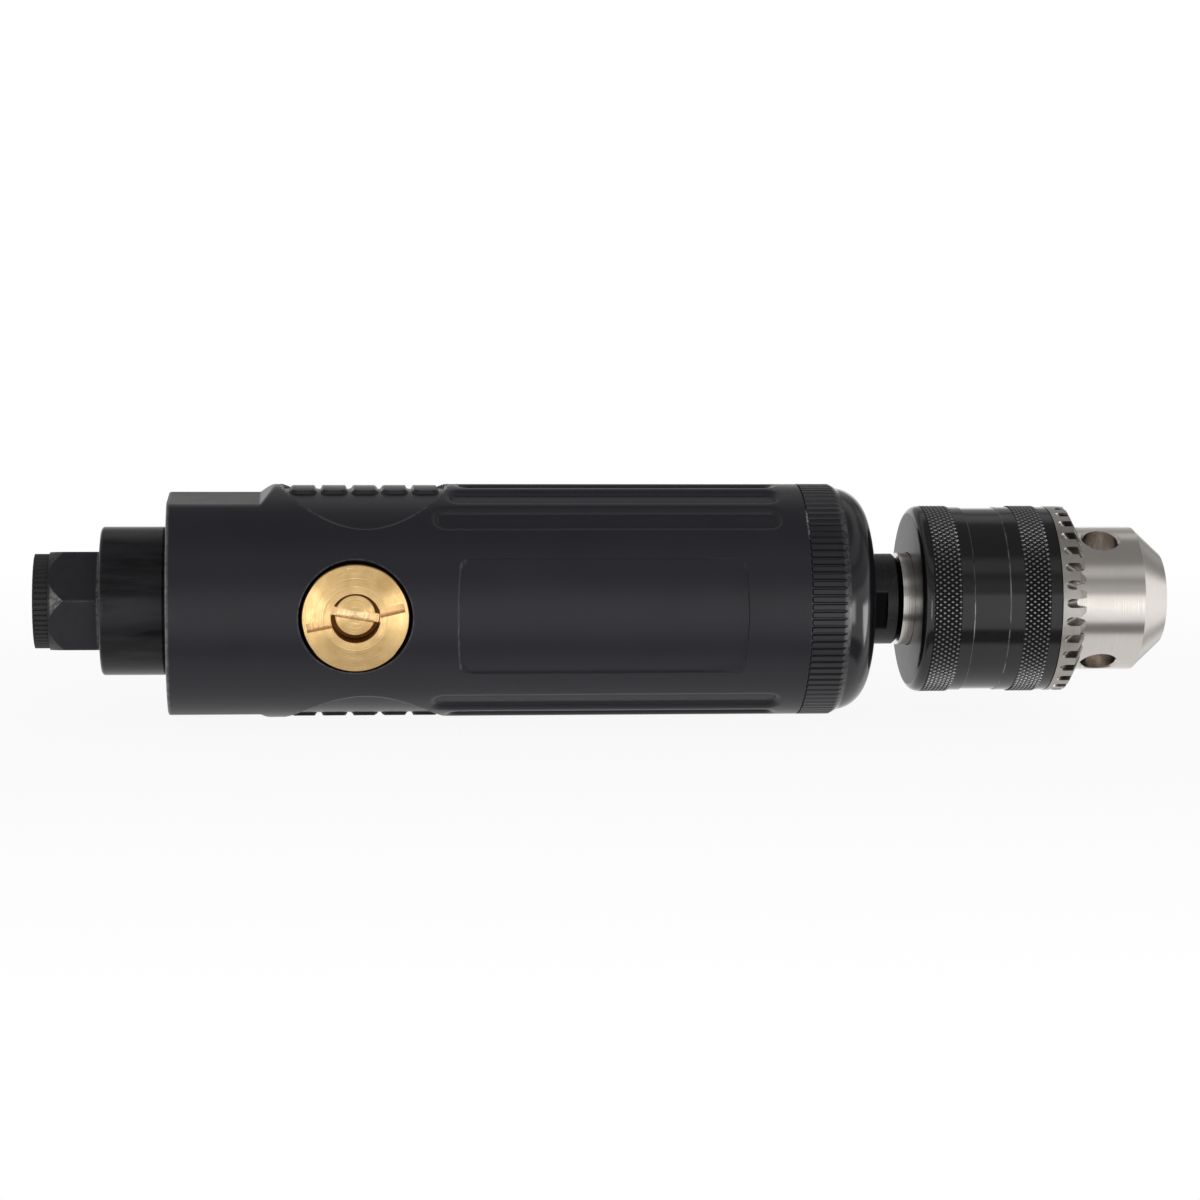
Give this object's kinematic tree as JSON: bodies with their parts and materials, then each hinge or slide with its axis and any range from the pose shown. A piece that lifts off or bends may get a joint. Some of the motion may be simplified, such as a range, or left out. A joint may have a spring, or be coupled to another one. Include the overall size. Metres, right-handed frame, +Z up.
{
  "type": "straight air drill",
  "caption": "Straight pneumatic drill: charcoal grip with brass flow regulator and throttle lever, vane motor and planetary gear inside, keyed three-jaw chuck in front.",
  "frame": {"origin": "On the spindle axis, at the mouth of the chuck.", "axes": "The drill lies on its side: +X runs forward along the spindle out of the chuck, +Z is up and -Y is the side of the flow regulator; the throttle lever is on +Y."},
  "size_m": [0.2105, 0.061, 0.0432],
  "materials": {
    "charcoal_paint": "matt charcoal paint",
    "black_coat": "glossy black coat",
    "gloss_black": "glossy black moulding",
    "black_oxide": "black oxide",
    "plug_plastic": "matt black plastic",
    "brass": "turned brass",
    "bright_nickel": "bright nickel plate",
    "dull_nickel": "dull nickel plate",
    "black_lever": "black coated sheet steel",
    "steel": "ground steel",
    "bearing_steel": "polished bearing steel",
    "motor_iron": "ground iron",
    "blade_resin": "phenolic resin",
    "seal_rubber": "black nitrile rubber",
    "felt": "pressed felt"
  },
  "bodies": {
    "housing": {"grip_housing": "charcoal_paint", "inlet_bushing": "black_oxide", "inlet_screen": "steel", "exhaust_muffler": "felt", "deflector_seal": "seal_rubber", "regulator_plug": "brass", "plug_seal": "seal_rubber", "valve_guide": "brass", "guide_seal": "seal_rubber", "lever_pin": "steel", "rear_end_plate": "motor_iron", "rear_bearing_outer": "bearing_steel", "motor_cylinder": "motor_iron", "cylinder_dowel": "steel", "front_end_plate": "motor_iron", "front_bearing_outer": "bearing_steel", "ring_gear": "steel", "spindle_bearing_outer": "bearing_steel", "spindle_seal": "felt", "front_cap": "black_coat"},
    "deflector": {"exhaust_deflector": "gloss_black"},
    "dust_plug": {"inlet_dust_plug": "plug_plastic"},
    "lever": {"throttle_lever": "black_lever"},
    "valve": {"throttle_valve": "steel", "valve_spring": "steel"},
    "regulator": {"regulator_screw": "brass", "screw_seal": "seal_rubber", "regulator_sleeve": "brass"},
    "rotor": {"rotor": "steel", "rotor_blades": "blade_resin", "rear_bearing_inner": "bearing_steel", "rear_bearing_balls": "bearing_steel", "front_bearing_inner": "bearing_steel", "front_bearing_balls": "bearing_steel"},
    "spindle": {"spindle": "black_oxide", "planet_pins": "steel", "spindle_bearing_inner": "bearing_steel", "spindle_bearing_balls": "bearing_steel", "chuck_body": "bright_nickel"},
    "planet_1": {"planet_gear_1": "steel"},
    "planet_2": {"planet_gear_2": "steel"},
    "planet_3": {"planet_gear_3": "steel"},
    "chuck_sleeve": {"chuck_sleeve": "black_oxide", "chuck_gear_ring": "dull_nickel", "chuck_nut": "steel"},
    "jaw_1": {"chuck_jaw_1": "steel"},
    "jaw_2": {"chuck_jaw_2": "steel"},
    "jaw_3": {"chuck_jaw_3": "steel"}
  },
  "joints": [
    {"name": "deflector_turn", "type": "hinge", "parent": "housing", "child": "deflector", "pos_m": [-0.1924, 0, 0], "axis": [1, 0, 0], "continuous": true},
    {"name": "dust_plug_pull", "type": "slide", "parent": "housing", "child": "dust_plug", "axis": [-1, 0, 0], "range_m": [0, 0.06]},
    {"name": "lever_press", "type": "hinge", "parent": "housing", "child": "lever", "pos_m": [-0.1772, 0.02375, 0], "axis": [0, 0, -1], "range_deg": [0, 8], "stiffness_Nm_per_rad": 2, "springref_deg": -17.19},
    {"name": "valve_lift", "type": "slide", "parent": "housing", "child": "valve", "axis": [0, -1, 0], "range_m": [0, 0.00352], "deforming": ["valve_spring"]},
    {"name": "regulator_turn", "type": "hinge", "parent": "housing", "child": "regulator", "pos_m": [-0.1522, -0.017, 0], "axis": [0, -1, 0], "range_deg": [0, 90]},
    {"name": "spindle_spin", "type": "hinge", "parent": "housing", "child": "spindle", "pos_m": [-0.0682, 0, 0], "axis": [1, 0, 0], "continuous": true},
    {"name": "rotor_spin", "type": "hinge", "parent": "housing", "child": "rotor", "pos_m": [-0.1142, 0, 0], "axis": [1, 0, 0], "continuous": true},
    {"name": "sleeve_turn", "type": "hinge", "parent": "spindle", "child": "chuck_sleeve", "pos_m": [-0.0352, 0, 0], "axis": [-1, 0, 0], "range_deg": [0, 3600]},
    {"name": "planet_1_spin", "type": "hinge", "parent": "spindle", "child": "planet_1", "pos_m": [-0.0822, -0.009, 0], "axis": [1, 0, 0], "continuous": true},
    {"name": "planet_2_spin", "type": "hinge", "parent": "spindle", "child": "planet_2", "pos_m": [-0.0822, 0.0045, 0.00779], "axis": [1, 0, 0], "continuous": true},
    {"name": "planet_3_spin", "type": "hinge", "parent": "spindle", "child": "planet_3", "pos_m": [-0.0822, 0.0045, -0.00779], "axis": [1, 0, 0], "continuous": true},
    {"name": "jaw_1_slide", "type": "slide", "parent": "spindle", "child": "jaw_1", "axis": [0.9703, 0.2413, -0.0169], "range_m": [0, 0.02]},
    {"name": "jaw_2_slide", "type": "slide", "parent": "spindle", "child": "jaw_2", "axis": [0.9703, -0.1353, -0.2006], "range_m": [0, 0.02]},
    {"name": "jaw_3_slide", "type": "slide", "parent": "spindle", "child": "jaw_3", "axis": [0.9703, -0.1061, 0.2174], "range_m": [0, 0.02]}
  ],
  "couplings": [
    {"joint": "rotor_spin", "follows": "spindle_spin", "ratio": 5},
    {"joint": "valve_lift", "follows": "lever_press", "m_per_rad": 0.025224},
    {"joint": "planet_1_spin", "follows": "spindle_spin", "ratio": -2.6667},
    {"joint": "planet_2_spin", "follows": "spindle_spin", "ratio": -2.6667},
    {"joint": "planet_3_spin", "follows": "spindle_spin", "ratio": -2.6667},
    {"joint": "jaw_1_slide", "follows": "sleeve_turn", "m_per_rad": 0.00031831},
    {"joint": "jaw_2_slide", "follows": "sleeve_turn", "m_per_rad": 0.00031831},
    {"joint": "jaw_3_slide", "follows": "sleeve_turn", "m_per_rad": 0.00031831}
  ]
}
